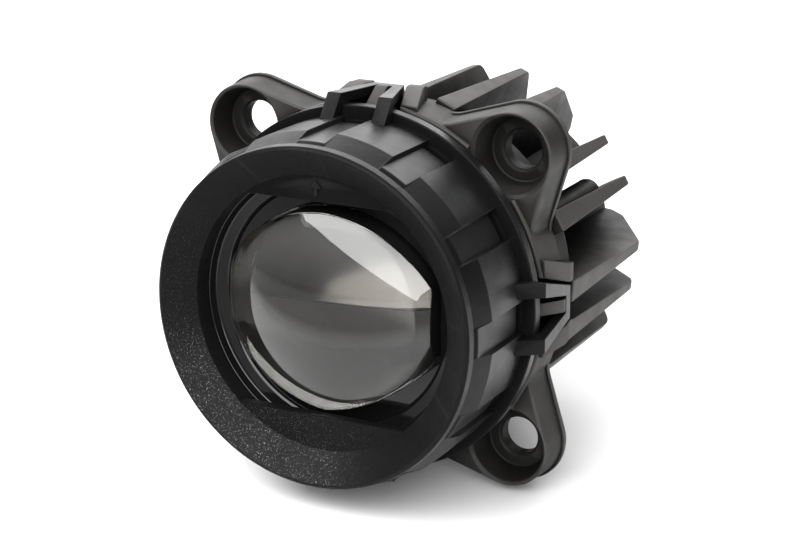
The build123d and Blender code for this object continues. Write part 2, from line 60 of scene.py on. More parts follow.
cad_nodes = frame["nodes"]

# ---- places and sizes ----
# Depth is the distance behind the bezel's front plane, in millimetres. Angles turn about the optical
# axis, from +X towards +Z, in degrees.
MM = 0.001
FRONT_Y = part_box("front_bezel")[0].y
FLOOR_Z = cad_box[0].z


def depth_of(y):
    return (y - FRONT_Y) / MM


LENS_APEX = depth_of(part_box("projection_lens")[0].y)
LENS_RIM_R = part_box("projection_lens")[1].x / MM
RING_FRONT = depth_of(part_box("heat_sink")[0].y)
LOOP_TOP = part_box("front_bezel")[1].x / MM
PAD_DEPTH = depth_of(0.0)

# bezel
LIGHT_R = 30.0
RIM_R = 37.0
BARREL_R = 38.8
GROOVE_R = 37.7
BORE_R = 36.0
FLANGE_R = 40.9
FLANGE_FRONT = 24.3
FLANGE_BACK = 27.0
WEB_BACK = 9.5
DISH_DEPTH = 5.0
SLOT_FRONT = 21.8
GROOVES = 12
GROOVE_HALF_ANGLE = 5.0
TOP_FLAT_Z = 24.5
BOTTOM_FLAT_Z = -22.5
FLAT_THICK = 2.6

# snap loops and catches
LOOP_ROOT = 20.2
LOOP_KNEE = 24.0
LOOP_END = 37.5
LOOP_THICK = 2.2
LOOP_HALF_FRONT = 7.8
LOOP_HALF_END = 3.7
WINDOW_HALF_FRONT = 4.5
WINDOW_HALF_END = 1.9
WINDOW_END = 35.0
CATCH_HALF = 1.45

# lens and trim
DOME_R = 39.7
LENS_HALF_X = 24.2
LENS_TOP_Z = 21.6
LENS_BOTTOM_Z = -22.0
LENS_SHOULDER_Z = 7.6
LENS_TOP_BOW = 0.78
LENS_BOTTOM_BOW = 0.73
LENS_RIM_FRONT = 14.0
LENS_RIM_BACK = 17.0
LENS_BULGE = 1.2
LENS_EDGE_FILLET = 0.45
TRIM_R = 34.0
TRIM_FLOOR = 13.0
TRIM_CLEARANCE = 0.3

# casting
RING_R = 41.0
RING_BACK = 39.0
CAVITY_R = 34.5
LEDGE_DEPTH = 40.6
LEDGE_R = 32.5
FLOOR_DEPTH = 46.4
FLOOR_BACK = 52.0
CUP_R = 38.0
CORE_R = 26.5
WELL_R = 23.4
CORE_BACK = 75.0
CORE_END = 100.0
EAR_SPACING = 32.3
EAR_R = 9.8
EAR_DRAFT = 0.6
EAR_FRONT = 29.5
EAR_BACK = 38.6
EAR_LIP = 0.5
EAR_LIP_FRONT = 37.3
EAR_NECK_ANGLE = 22.0
EAR_NECK_R = 9.0
EAR_FOOT_ANGLE = 12.0
PAD_R = 9.0
PAD_ROOM = 0.4
PAD_ROOM_DEPTH = 5.0
RECESS_R = 8.5
RECESS_FLOOR_R = 7.0
RECESS_FLOOR = 36.2
BOLT_HOLE_R = 4.25
NOTCH_ROOM = 0.8
NOTCH_END_ROOM = 0.6
BLOCK_WIDTH = 4.2
BLOCK_GAP = 0.6
BLOCK_FRONT = 29.6
BLOCK_TOP_DEPTH = 35.6

# fins: pairs of parallel plates, the same on both halves of the turn, inside a circle with flats
FIN_PAIRS = (-38.5, -5.0, 30.0, 65.0, 98.5)
FIN_OFFSET = 5.2
FIN_INNER = 24.2
FIN_FLATS = ((90, 39.7), (120, 34.4), (150, 39.7))
FIN_R = 43.0
FIN_FRONT = 39.5
FIN_ROOT_THICK = 4.9
FIN_TIP_THICK = 0.9
FIN_CORNER_DEPTH = 79.0
TALL_MIDDLE = 30.0
TALL_SPREAD = 35.0
LOW_CORNER_R = 34.4
LOW_CORNER_DEPTH = 87.6
LOW_CORNER_SLOPE = 0.85
COLUMN_R = 3.2
COLUMN_CENTRE_R = 35.5
COLUMN_BACK = 73.0
COLUMN_ANGLE = 24.1
TALL_END_R = 27.5
LOW_END_R = 28.0
LOW_END_DEPTH = 93.0

# rear connector and vent
HEADER_Z = -16.5
HEADER_SCREW_X = 13.2
HEADER_X_SIZE = 20.0
HEADER_Z_SIZE = 14.0
POCKET_DEPTH = 60.0
HEADER_LUG_R = 3.8
HEADER_SCREW_R = 1.5
VENT_Z = 17.5
VENT_HOLE_R = 2.2
QUARTERS = (0, 90, 180, 270)

# camera, at the height and side from which the lamp is seen
CAMERA_AZIMUTH = 27.52
CAMERA_ELEVATION = 16.945
CAMERA_ROLL = -0.258
CAMERA_DISTANCE = 0.41778
CAMERA_AIM = Vector((0.01573, FRONT_Y + 0.01185, 0.01063))
CAMERA_LENS = 90.93

# light, in metres and degrees
KEY_RADIANCE = 7.4
KEY_ROLL = -28.0
KEY_LIFT = 0.1
TOP_RADIANCE = 1.1
BACK_RADIANCE = 2.6
WORLD_RADIANCE = 0.1

# floor, in metres: pale near the lamp and behind it, dim far in front as painted shade, where only the lens
# would mirror it
FLOOR_SIZE = 6.0
PALE_FROM_Y = FRONT_Y - 0.045
PAINTED_SHADE_FROM_Y = FRONT_Y - 0.105

# finishes, with painted shade in recesses and painted sparkle low on the left
SPARKLE_SCALE = 4600.0
SPARKLE_SMOOTHING = 0.3
# where the painted sparkle low on the left starts to fade, along x plus z in metres
PAINTED_SPARKLE_SIDE = -0.04
# how far the painted shade in recesses reaches, in metres
PAINTED_SHADE_REACH = 0.014
PATCH_SCALE = 60.0
# share of the gloss kept deep in recesses, as painted shade
PAINTED_SHADE_GLOSS = 0.25


# ---- mesh helpers ----
def polar(radius, angle):
    return radius * math.cos(math.radians(angle)), radius * math.sin(math.radians(angle))


def spot(x, z, depth):
    """Point in the frame, in metres, from millimetres across, up and behind the bezel's front."""
    return Vector((x * MM, FRONT_Y + depth * MM, z * MM))


def around(radius, angle, depth):
    x, z = polar(radius, angle)
    return spot(x, z, depth)


def rounded(points, steps=4):
    """Polygon with its corners rounded: points are (u, v) or (u, v, radius)."""
    result = []
    count = len(points)
    for index, point in enumerate(points):
        corner = Vector(point[:2])
        if len(point) < 3 or point[2] <= 0:
            result.append(tuple(corner))
            continue
        before = Vector(points[index - 1][:2]) - corner
        after = Vector(points[(index + 1) % count][:2]) - corner
        half = before.angle(after) / 2
        cut = min(point[2] / math.tan(half), 0.49 * before.length, 0.49 * after.length)
        start = corner + before.normalized() * cut
        end = corner + after.normalized() * cut
        radius = cut * math.tan(half)
        centre = corner + (before.normalized() + after.normalized()).normalized() * radius / math.sin(half)
        a = start - centre
        b = end - centre
        sweep = math.atan2(a.x * b.y - a.y * b.x, a.dot(b))
        for step in range(steps + 1):
            turn = Matrix.Rotation(sweep * step / steps, 2)
            result.append(tuple(centre + turn @ a))
    return result


def mesh_object(name, points, faces):
    mesh = bpy.data.meshes.new(name)
    mesh.from_pydata([tuple(p) for p in points], [], faces)
    shape = bmesh.new()
    shape.from_mesh(mesh)
    bmesh.ops.remove_doubles(shape, verts=shape.verts, dist=1e-7)
    bmesh.ops.recalc_face_normals(shape, faces=shape.faces)
    shape.to_mesh(mesh)
    shape.free()
    piece = bpy.data.objects.new(name, mesh)
    bpy.context.scene.collection.objects.link(piece)
    return piece


def lathe(name, profile, angles, closed=True):
    """Section turned about the optical axis; profile(angle) gives its (radius, depth) points."""
    sections = [profile(angle) for angle in angles]
    count = len(sections[0])
    points = []
    for angle, section in zip(angles, sections):
        points += [around(radius, angle, depth) for radius, depth in section]
    faces = []
    for i in range(len(angles)):
        j = (i + 1) % len(angles)
        for k in range(count if closed else count - 1):
            n = (k + 1) % count
            faces.append((i * count + k, i * count + n, j * count + n, j * count + k))
    return mesh_object(name, points, faces)


def even_angles(segments):
    return [360 * i / segments for i in range(segments)]


def turned(name, section, segments=96):
    return lathe(name, lambda angle: section, even_angles(segments))


def between(name, one_end, other_end):
    """Closed solid between two outlines with the same number of points."""
    count = len(one_end)
    faces = [tuple(range(count)), tuple(range(2 * count - 1, count - 1, -1))]
    for i in range(count):
        j = (i + 1) % count
        faces.append((i, j, count + j, count + i))
    return mesh_object(name, one_end + other_end, faces)


def prism(name, outline, front, back, back_outline=None):
    """Outline in (x, z), between two depths; a second outline gives the prism draft."""
    return between(name, [spot(x, z, front) for x, z in outline],
                   [spot(x, z, back) for x, z in back_outline or outline])


def circle(x, z, radius, segments=48):
    steps = [2 * math.pi * i / segments for i in range(segments)]
    return [(x + radius * math.cos(step), z + radius * math.sin(step)) for step in steps]


def box_outline(x_size, z_size, x, z, radius=0.0):
    return rounded([(x - x_size / 2, z - z_size / 2, radius), (x + x_size / 2, z - z_size / 2, radius),
                    (x + x_size / 2, z + z_size / 2, radius), (x - x_size / 2, z + z_size / 2, radius)])


def side_prism(name, outline, half_width):
    """Outline in (x, depth), to both sides of z = 0."""
    return between(name, [spot(x, -half_width, d) for x, d in outline],
                   [spot(x, half_width, d) for x, d in outline])


def plan_prism(name, outline, x_low, x_high):
    """Outline in (depth, z), between two x."""
    return between(name, [spot(x_low, z, d) for d, z in outline], [spot(x_high, z, d) for d, z in outline])


def bake(piece):
    """Apply the piece's modifiers."""
    graph = bpy.context.evaluated_depsgraph_get()
    mesh = bpy.data.meshes.new_from_object(piece.evaluated_get(graph))
    piece.modifiers.clear()
    piece.data = mesh
    return piece


def soften(piece, width, segments=2, angle=30):
    """Round the sharp edges."""
    bevel = piece.modifiers.new("Bevel", "BEVEL")
    bevel.width = width * MM
    bevel.segments = segments
    bevel.limit_method = "ANGLE"
    bevel.angle_limit = math.radians(angle)
    bevel.use_clamp_overlap = True
    return bake(piece)


def combine(base, operation, tools):
    for tool in tools:
        step = base.modifiers.new("Boolean", "BOOLEAN")
        step.operation = operation
        step.solver = "MANIFOLD"
        step.object = tool
    bake(base)
    for tool in tools:
        bpy.data.objects.remove(tool)
    return base


def turned_copy(piece, angle):
    """Copy of a piece, turned about the optical axis."""
    copy = piece.copy()
    copy.data = piece.data.copy()
    copy.data.transform(Matrix.Rotation(math.radians(-angle), 4, "Y"))
    bpy.context.scene.collection.objects.link(copy)
    return copy


def copies(piece, angles):
    made = [turned_copy(piece, angle) for angle in angles]
    bpy.data.objects.remove(piece)
    return made


def shade(piece, sharp_angle=32):
    mesh = piece.data
    for face in mesh.polygons:
        face.use_smooth = True
    mesh.set_sharp_from_angle(angle=math.radians(sharp_angle))
    weighted = piece.modifiers.new("Weighted normals", "WEIGHTED_NORMAL")
    weighted.keep_sharp = True
    return piece


def dress(piece, name, material, nodes):
    """Name a finished piece, give it its finish and let it stand for its CAD nodes."""
    piece.name = name
    piece.data.name = name
    piece.data.materials.clear()
    piece.data.materials.append(material)
    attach(piece, "root")
    if nodes:
        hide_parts(*nodes)
    return piece


# ---- materials ----
class Nodes:
    """Small wrapper that adds and links shader nodes."""

    def __init__(self, name):
        self.material = bpy.data.materials.new(name)
        self.material.use_nodes = True
        self.tree = self.material.node_tree
        self.shader = self.tree.nodes["Principled BSDF"]
        self.place = self.add("ShaderNodeTexCoord").outputs["Object"]

    def add(self, kind, **settings):
        node = self.tree.nodes.new(kind)
        for key, value in settings.items():
            setattr(node, key, value)
        return node

    def link(self, source, target):
        self.tree.links.new(source, target)

    def noise(self, scale, detail=3.0, roughness=0.5):
        node = self.add("ShaderNodeTexNoise")
        node.inputs["Scale"].default_value = scale
        node.inputs["Detail"].default_value = detail
        node.inputs["Roughness"].default_value = roughness
        self.link(self.place, node.inputs["Vector"])
        return node.outputs["Fac"]

    def ramp(self, source, low, high, start=0.3, end=0.7):
        node = self.add("ShaderNodeMapRange")
        node.inputs["From Min"].default_value = start
        node.inputs["From Max"].default_value = end
        node.inputs["To Min"].default_value = low
        node.inputs["To Max"].default_value = high
        self.link(source, node.inputs["Value"])
        return node.outputs["Result"]

    def colours(self, source, low, high, start=0.3, end=0.7):
        node = self.add("ShaderNodeValToRGB")
        node.color_ramp.elements[0].position = start
        node.color_ramp.elements[0].color = (*low, 1)
        node.color_ramp.elements[1].position = end
        node.color_ramp.elements[1].color = (*high, 1)
        self.link(source, node.inputs["Fac"])
        return node.outputs["Color"]

    def bump(self, source, strength, distance, previous=None):
        node = self.add("ShaderNodeBump")
        node.inputs["Strength"].default_value = strength
        node.inputs["Distance"].default_value = distance
        self.link(source, node.inputs["Height"])
        if previous is not None:
            self.link(previous, node.inputs["Normal"])
        return node.outputs["Normal"]

    def edge(self):
        """1 on sharp outer edges, 0 elsewhere."""
        source = self.add("ShaderNodeNewGeometry").outputs["Pointiness"]
        return self.ramp(source, 0.0, 1.0, 0.5, 0.56)

    def painted_cavity_shade(self):
        """Mask for painted shade: 0 deep in recesses and crevices, 1 on open surfaces."""
        node = self.add("ShaderNodeAmbientOcclusion", samples=4)
        node.inputs["Distance"].default_value = PAINTED_SHADE_REACH
        return self.ramp(node.outputs["AO"], 0.0, 1.0, 0.36, 0.86)

    def facing_front(self):
        """1 on the faces square to the optical axis, 0 on those that run along it."""
        split = self.add("ShaderNodeSeparateXYZ")
        self.link(self.add("ShaderNodeNewGeometry").outputs["True Normal"], split.inputs["Vector"])
        return self.compute("ABSOLUTE", split.outputs["Y"])

    def compute(self, operation, *sources):
        """Math node with links or plain numbers on its inputs."""
        node = self.add("ShaderNodeMath", operation=operation)
        for socket, source in zip(node.inputs, sources):
            if isinstance(source, float):
                socket.default_value = source
            else:
                self.link(source, socket)
        return node.outputs["Value"]

    def shiny_grains_painted_low_left(self):
        """Sparse shiny grains, most of them low on the left side as painted sparkle."""
        split = self.add("ShaderNodeSeparateXYZ")
        self.link(self.place, split.inputs["Vector"])
        across = self.compute("ADD", split.outputs["X"], split.outputs["Z"])
        grains = self.ramp(self.noise(SPARKLE_SCALE, 2.0), 0.0, 1.0, 0.62, 0.7)
        return self.compute("MULTIPLY", grains, self.ramp(across, 1.0, 0.1, PAINTED_SPARKLE_SIDE, 0.0))

    def gloss(self, unshaded_share, side, front, grain_and_painted_sparkle, sparkle):
        """Specular level of a side wall and of a front face, lower deep in recesses as painted shade."""
        level = self.ramp(self.facing_front(), side, front, 0.02, 0.35)
        # painted sparkle: more gloss on the shiny grains
        extra = self.ramp(grain_and_painted_sparkle, 0.0, sparkle, 0.0, 1.0)
        # painted shade: less gloss deep in recesses
        painted_shade_dimming = self.ramp(unshaded_share, PAINTED_SHADE_GLOSS, 1.0, 0.0, 1.0)
        return self.compute("MULTIPLY", self.compute("ADD", level, extra), painted_shade_dimming)

    def painted_shade_walls(self, glass_shader):
        """Painted shade: matt black on the faces that run along the optical axis, glass elsewhere."""
        black = self.add("ShaderNodeBsdfPrincipled")
        black.inputs["Base Color"].default_value = (0.004, 0.004, 0.004, 1)
        black.inputs["Roughness"].default_value = 0.5
        black.inputs["Specular IOR Level"].default_value = 0.2
        both = self.add("ShaderNodeMixShader")
        self.link(self.ramp(self.facing_front(), 0.0, 1.0, 0.1, 0.2), both.inputs["Fac"])
        self.link(black.outputs["BSDF"], both.inputs[1])
        self.link(glass_shader, both.inputs[2])
        return both.outputs["Shader"]

    def mix(self, factor, first, second):
        """Mix of two colours, each a link or three plain numbers."""
        node = self.add("ShaderNodeMix", data_type="RGBA")
        self.link(factor, node.inputs["Factor"])
        for socket, colour in ((node.inputs[6], first), (node.inputs[7], second)):
            if isinstance(colour, tuple):
                socket.default_value = (*colour, 1)
            else:
                self.link(colour, socket)
        return node.outputs[2]


def surface(name, dark, light, rough_low, rough_high, grain, grain_depth, grain_strength, metal=0.0,
            specular=0.5, casing=None):
    """Moulded or coated surface: blotchy colour, uneven gloss and a fine grain.

    casing holds what only the outer mouldings have: a lighter colour on sharp edges, painted shade deep in
    recesses and crevices, a gloss of their own on front faces, and shiny grains with painted sparkle.
    """
    n = Nodes(name)
    colour = n.colours(n.noise(PATCH_SCALE, 4.0), dark, light)
    roughness = n.ramp(n.noise(PATCH_SCALE * 3, 5.0), rough_low, rough_high)
    if casing is None:
        n.shader.inputs["Specular IOR Level"].default_value = specular
    else:
        # painted shade: a dark colour and less gloss deep in recesses and crevices
        unshaded_share = n.painted_cavity_shade()
        grain_and_painted_sparkle = n.shiny_grains_painted_low_left()
        sparkle = casing["sparkle"]
        colour = n.mix(unshaded_share, casing["gaps"], n.mix(n.edge(), colour, casing["edges"]))
        level = n.gloss(unshaded_share, specular, casing["front_specular"], grain_and_painted_sparkle, sparkle)
        n.link(level, n.shader.inputs["Specular IOR Level"])
        # painted sparkle: the shiny grains are smoother
        roughness = n.compute("MULTIPLY_ADD", grain_and_painted_sparkle, -SPARKLE_SMOOTHING * sparkle, roughness)
    n.link(colour, n.shader.inputs["Base Color"])
    n.link(roughness, n.shader.inputs["Roughness"])
    coarse = n.bump(n.noise(grain * 0.12, 2.0), grain_strength * 0.4, grain_depth * 4)
    fine = n.bump(n.noise(grain, 3.0, 0.6), grain_strength, grain_depth, coarse)
    n.link(fine, n.shader.inputs["Normal"])
    n.shader.inputs["Metallic"].default_value = metal
    return n.material


def glass():
    """Clear coated glass, its side walls matt black as painted shade; part of the light passes straight
    through it.
    """
    n = Nodes("lens_glass")
    n.shader.inputs["Base Color"].default_value = (0.9, 0.89, 0.86, 1)
    n.shader.inputs["Transmission Weight"].default_value = 1.0
    n.shader.inputs["IOR"].default_value = 1.5
    n.link(n.ramp(n.noise(90.0, 3.0), 0.0, 0.012), n.shader.inputs["Roughness"])
    n.shader.inputs["Specular IOR Level"].default_value = 1.0
    n.shader.inputs["Coat Weight"].default_value = 0.4
    n.shader.inputs["Coat Roughness"].default_value = 0.004
    clear = n.add("ShaderNodeBsdfTransparent")
    clear.inputs["Color"].default_value = (0.2, 0.2, 0.2, 1)
    shadow = n.add("ShaderNodeLightPath").outputs["Is Shadow Ray"]
    mix = n.add("ShaderNodeMixShader")
    n.link(shadow, mix.inputs["Fac"])
    n.link(n.painted_shade_walls(n.shader.outputs["BSDF"]), mix.inputs[1])
    n.link(clear.outputs["BSDF"], mix.inputs[2])
    output = n.tree.nodes["Material Output"]
    n.link(mix.outputs["Shader"], output.inputs["Surface"])
    return n.material


# the colour used deep in recesses is painted shade
BEZEL_CASING = {"edges": (0.011, 0.011, 0.0115), "gaps": (0.004, 0.004, 0.004), "front_specular": 0.05,
                "sparkle": 0.8}
CASTING_CASING = {"edges": (0.05, 0.047, 0.044), "gaps": (0.004, 0.0038, 0.0036), "front_specular": 0.28,
                  "sparkle": 0.2}

MATERIALS = {
    "bezel_plastic": surface("bezel_plastic", (0.003, 0.0031, 0.0032), (0.005, 0.0051, 0.0052), 0.3, 0.42,
                             2600, 0.00007, 0.65, specular=0.42, casing=BEZEL_CASING),
    "trim_gloss": surface("trim_gloss", (0.004, 0.004, 0.004), (0.007, 0.007, 0.007), 0.05, 0.11,
                          900, 0.00001, 0.1, specular=0.35),
    "coated_aluminium": surface("coated_aluminium", (0.015, 0.0141, 0.0133), (0.022, 0.0208, 0.0196),
                                0.42, 0.55, 2600, 0.00005, 0.45, specular=0.18, casing=CASTING_CASING),
    "seal_rubber": surface("seal_rubber", (0.012, 0.012, 0.012), (0.02, 0.02, 0.02), 0.6, 0.8,
                           3000, 0.00004, 0.4),
    "holder_plastic": surface("holder_plastic", (0.012, 0.012, 0.012), (0.02, 0.02, 0.02), 0.4, 0.6,
                              4200, 0.00004, 0.5),
    "screw_steel": surface("screw_steel", (0.5, 0.5, 0.5), (0.6, 0.6, 0.6), 0.25, 0.4,
                           3000, 0.00001, 0.2, metal=1.0),
    # The shield and the reflector are darkened as painted shade, for the dim inside of the lamp behind the
    # lens.
    "shield_metal": surface("shield_metal", (0.02, 0.0188, 0.017), (0.032, 0.03, 0.027), 0.3, 0.45,
                            900, 0.00001, 0.03, metal=1.0),
    "reflector_mirror": surface("reflector_mirror", (0.05, 0.048, 0.045), (0.07, 0.067, 0.063), 0.12, 0.22,
                                300, 0.00002, 0.03, metal=1.0),
    "board_white": surface("board_white", (0.12, 0.12, 0.115), (0.15, 0.15, 0.145), 0.3, 0.4,
                           2000, 0.00001, 0.2),
    "emitter_phosphor": surface("emitter_phosphor", (0.4, 0.33, 0.08), (0.43, 0.37, 0.11), 0.4, 0.5,
                                2000, 0.00001, 0.2),
    "thermal_silicone": surface("thermal_silicone", (0.35, 0.37, 0.4), (0.42, 0.44, 0.47), 0.6, 0.8,
                                2000, 0.00003, 0.4),
    "board_green": surface("board_green", (0.02, 0.13, 0.05), (0.03, 0.17, 0.07), 0.25, 0.35,
                           2000, 0.00001, 0.3),
    "component_black": surface("component_black", (0.02, 0.02, 0.02), (0.03, 0.03, 0.03), 0.35, 0.5,
                               3000, 0.00002, 0.3),
    "contact_tin": surface("contact_tin", (0.66, 0.66, 0.64), (0.75, 0.75, 0.73), 0.2, 0.35,
                           2500, 0.00001, 0.2, metal=1.0),
    "membrane_fabric": surface("membrane_fabric", (0.7, 0.7, 0.7), (0.82, 0.82, 0.82), 0.8, 0.9,
                               6000, 0.00004, 0.6),
    "lens_glass": glass(),
}


# ---- bezel ----
def bezel_section(share):
    """Section of the bezel ring: share is 1 on a raised panel of the barrel and 0 in a groove."""
    barrel = GROOVE_R + (BARREL_R - GROOVE_R) * share
    slot = BORE_R + 0.2 + (BARREL_R - BORE_R - 0.2) * share
    ramp_end = 3.4 + 4.6 * share
    slot_back = FLANGE_FRONT - 0.4
    return rounded([
        (LIGHT_R, WEB_BACK), (LIGHT_R, DISH_DEPTH, 0.35), (RIM_R - 0.8, 0, 0.35), (RIM_R, 0.7, 0.6),
        (RIM_R + 0.2, 2.5, 1.0), (barrel, ramp_end, 1.4), (barrel, SLOT_FRONT, 0.15),
        (slot, SLOT_FRONT + 0.06, 0.02), (slot, slot_back - 0.06, 0.02), (barrel, slot_back, 0.05),
        (barrel, FLANGE_FRONT, 0.1), (FLANGE_R, FLANGE_FRONT, 0.35), (FLANGE_R, FLANGE_BACK, 0.25),
        (BORE_R, FLANGE_BACK), (BORE_R, WEB_BACK)], 3)


def bezel_angles():
    """Even steps, with extra ones where the barrel steps between panels and grooves."""
    step = 360 / GROOVES
    marks = (0, 0.8, 1.6, 2.4, 3.2, 3.9, 4.4, 4.7, 4.85, 5.0, 5.15, 5.3, 5.6, 6.1, 6.8, 7.6, 8.4, 9.2, 10.2,
             11.4, 12.6, 13.8)
    angles = []
    for index in range(GROOVES):
        centre = index * step
        angles += [centre + mark for mark in marks] + [centre + step / 2]
        angles += [centre + step - mark for mark in reversed(marks[1:])]
    return angles


def raised(angle):
    """How far the barrel stands out at an angle: 1 on a raised panel, 0 in a groove."""
    step = 360 / GROOVES
    off = abs((angle + step / 2) % step - step / 2)
    share = (off - (GROOVE_HALF_ANGLE - 0.3)) / 0.6
    share = max(0.0, min(1.0, share))
    return share * share * (3 - 2 * share)


def light_flat(z_edge):
    """Flat segment that closes the light opening beyond a level chord."""
    radius = LIGHT_R + 0.4
    half = math.degrees(math.acos(abs(z_edge) / radius))
    middle = math.copysign(90, z_edge)
    outline = [polar(radius, middle - half + 2 * half * i / 40) for i in range(41)]
    flat = prism("flat", outline, DISH_DEPTH, DISH_DEPTH + FLAT_THICK)
    return soften(flat, 0.25, 2, 40)


def up_arrow():
    """Small raised arrow on the upper flat, which shows the way up."""
    z = TOP_FLAT_Z + 1.3
    outline = [(-0.42, z), (0.42, z), (0.42, z + 1.7), (1.35, z + 1.7), (0, z + 3.3), (-1.35, z + 1.7),
               (-0.42, z + 1.7)]
    return prism("arrow", outline, DISH_DEPTH - 0.3, DISH_DEPTH + 0.5)


def snap_loop():
    """Two prongs that rise from the barrel at +X, pass the flange and join behind the catch."""
    under = LOOP_TOP - LOOP_THICK
    plan = plan_prism("loop", [
        (LOOP_ROOT, -LOOP_HALF_FRONT), (LOOP_KNEE, -LOOP_HALF_FRONT), (LOOP_END, -LOOP_HALF_END),
        (LOOP_END, LOOP_HALF_END), (LOOP_KNEE, LOOP_HALF_FRONT), (LOOP_ROOT, LOOP_HALF_FRONT),
        (LOOP_ROOT, WINDOW_HALF_FRONT), (LOOP_KNEE, WINDOW_HALF_FRONT), (WINDOW_END, WINDOW_HALF_END),
        (WINDOW_END, -WINDOW_HALF_END), (LOOP_KNEE, -WINDOW_HALF_FRONT), (LOOP_ROOT, -WINDOW_HALF_FRONT)],
        BORE_R + 0.6, LOOP_TOP + 1)
    side = side_prism("side", [
        (BORE_R + 0.9, LOOP_ROOT - 1), (BARREL_R - 2.0, LOOP_ROOT - 1), (LOOP_TOP, LOOP_KNEE),
        (LOOP_TOP, LOOP_END + 1), (under, LOOP_END + 1), (under, FLANGE_BACK - 0.3),
        (BORE_R + 0.9, FLANGE_BACK - 0.3)], LOOP_HALF_FRONT + 2)
    return soften(combine(plan, "INTERSECT", [side]), 0.22, 2, 30)


def make_bezel():
    ring = lathe("bezel", lambda angle: bezel_section(raised(angle)), bezel_angles())
    parts = [light_flat(TOP_FLAT_Z), light_flat(BOTTOM_FLAT_Z), up_arrow()] + copies(snap_loop(), QUARTERS)
    combine(ring, "UNION", parts)
    shade(ring)
    return dress(ring, "bezel", MATERIALS["bezel_plastic"], ["front_bezel"])


# ---- lens and trim ----
def circle_through(a, b, c):
    """Centre and radius of the circle through three points."""
    a, b, c = Vector(a), Vector(b), Vector(c)
    d = 2 * (a.x * (b.y - c.y) + b.x * (c.y - a.y) + c.x * (a.y - b.y))
    x = (a.length_squared * (b.y - c.y) + b.length_squared * (c.y - a.y) + c.length_squared * (a.y - b.y)) / d
    z = (a.length_squared * (c.x - b.x) + b.length_squared * (a.x - c.x) + c.length_squared * (b.x - a.x)) / d
    centre = Vector((x, z))
    return centre, (a - centre).length


def lens_radius(angle, grow=0.0):
    """Distance from the axis to the lens outline: upright sides, bowed upper and lower sides."""
    direction = Vector(polar(1.0, angle))
    half = LENS_HALF_X + grow
    if abs(direction.y) * half <= LENS_SHOULDER_Z * abs(direction.x):
        return half / abs(direction.x)
    tip = LENS_TOP_Z + grow if direction.y > 0 else LENS_BOTTOM_Z - grow
    mirrored = Vector((abs(direction.x), direction.y))
    middle_z = (LENS_TOP_BOW if tip > 0 else LENS_BOTTOM_BOW) * (tip + math.copysign(grow / 2, tip))
    shoulder = (half, math.copysign(LENS_SHOULDER_Z, tip))
    centre, radius = circle_through(shoulder, (0.72 * (half - 3.0), middle_z), (0, tip))
    along = mirrored.dot(centre)
    return along + math.sqrt(along * along - centre.length_squared + radius * radius)


def dome_depth(radius):
    return LENS_APEX + DOME_R - math.sqrt(DOME_R ** 2 - radius ** 2)


def lens_section(angle):
    """Half section from the front centre, over the edge and rim, to the back centre."""
    edge = lens_radius(angle)
    rings = 28
    points = [(edge * i / rings, dome_depth(edge * i / rings)) for i in range(rings - 1)]
    corner = rounded([(edge - 3, dome_depth(edge - 3)), (edge, dome_depth(edge), LENS_EDGE_FILLET),
                      (edge, LENS_RIM_FRONT)], 5)
    points += corner[1:-1]
    back_r = LENS_RIM_R - 4
    points += rounded([(edge, LENS_RIM_FRONT - 1), (edge, LENS_RIM_FRONT), (LENS_RIM_R, LENS_RIM_FRONT, 0.2),
                       (LENS_RIM_R, LENS_RIM_BACK, 0.2), (back_r, LENS_RIM_BACK)], 2)[1:]
    curve = (back_r ** 2 + LENS_BULGE ** 2) / (2 * LENS_BULGE)
    back_rings = 14
    for i in range(1, back_rings + 1):
        radius = back_r * (1 - i / back_rings)
        points.append((radius, LENS_RIM_BACK + LENS_BULGE - curve + math.sqrt(curve ** 2 - radius ** 2)))
    return points


def make_lens():
    lens = lathe("lens", lens_section, even_angles(160), closed=False)
    shade(lens, 40)
    return dress(lens, "lens", MATERIALS["lens_glass"], ["projection_lens"])


def make_trim():
    front = WEB_BACK + 0.2
    back = LENS_RIM_FRONT - 0.2

    def section(angle):
        hole = lens_radius(angle, TRIM_CLEARANCE)
        return rounded([
            (TRIM_R, front), (LIGHT_R - 0.2, front, 0.3), (29.3, 11.5, 0.7), (26.9, 12.0, 0.3),
            (26.4, 12.3, 0.15), (26.2, TRIM_FLOOR, 0.2), (hole, TRIM_FLOOR + 0.1, 0.15), (hole, back),
            (TRIM_R, back)], 4)

    trim = lathe("trim", section, even_angles(240))
    shade(trim)
    return dress(trim, "trim", MATERIALS["trim_gloss"], ["inner_trim"])


# ---- casting ----
def ear_outline(grow=0.0):
    """Outline of the ear at 45 degrees, with a round tip and hollow necks that run into the ring."""
    centre = EAR_SPACING
    tip_r = EAR_R + grow
    neck_x, neck_z = polar(RING_R - 0.6 + grow, EAR_NECK_ANGLE)
    reach = math.hypot(centre - neck_x, centre - neck_z)
    heading = math.degrees(math.atan2(centre - neck_z, centre - neck_x))
    swing = math.degrees(math.asin(tip_r / reach))
    start = heading - swing - 90
    end = 90 - start
    steps = 40
    tip = []
    for i in range(steps + 1):
        x, z = polar(tip_r, start + (end - start) * i / steps)
        tip.append((centre + x, centre + z))
    low = polar(RING_R - 0.2, EAR_FOOT_ANGLE)
    inner = polar(CUP_R - 1, EAR_FOOT_ANGLE)
    neck = [(neck_x, neck_z, EAR_NECK_R)]
    mirrored_neck = [(neck_z, neck_x, EAR_NECK_R), (low[1], low[0]), (inner[1], inner[0])]
    return rounded([inner, low] + neck + tip + mirrored_neck, 8)


def make_ear():
    wall = prism("ear", ear_outline(-EAR_DRAFT), EAR_FRONT, EAR_BACK - 0.2, ear_outline())
    soften(wall, 0.6, 3, 50)
    lip = soften(prism("lip", ear_outline(EAR_LIP), EAR_LIP_FRONT, EAR_BACK), 0.22, 2, 50)
    pad = prism("pad", circle(EAR_SPACING, EAR_SPACING, PAD_R, 64), EAR_BACK - 1, PAD_DEPTH)
    soften(pad, 0.4, 2, 50)
    return combine(wall, "UNION", [lip, pad])


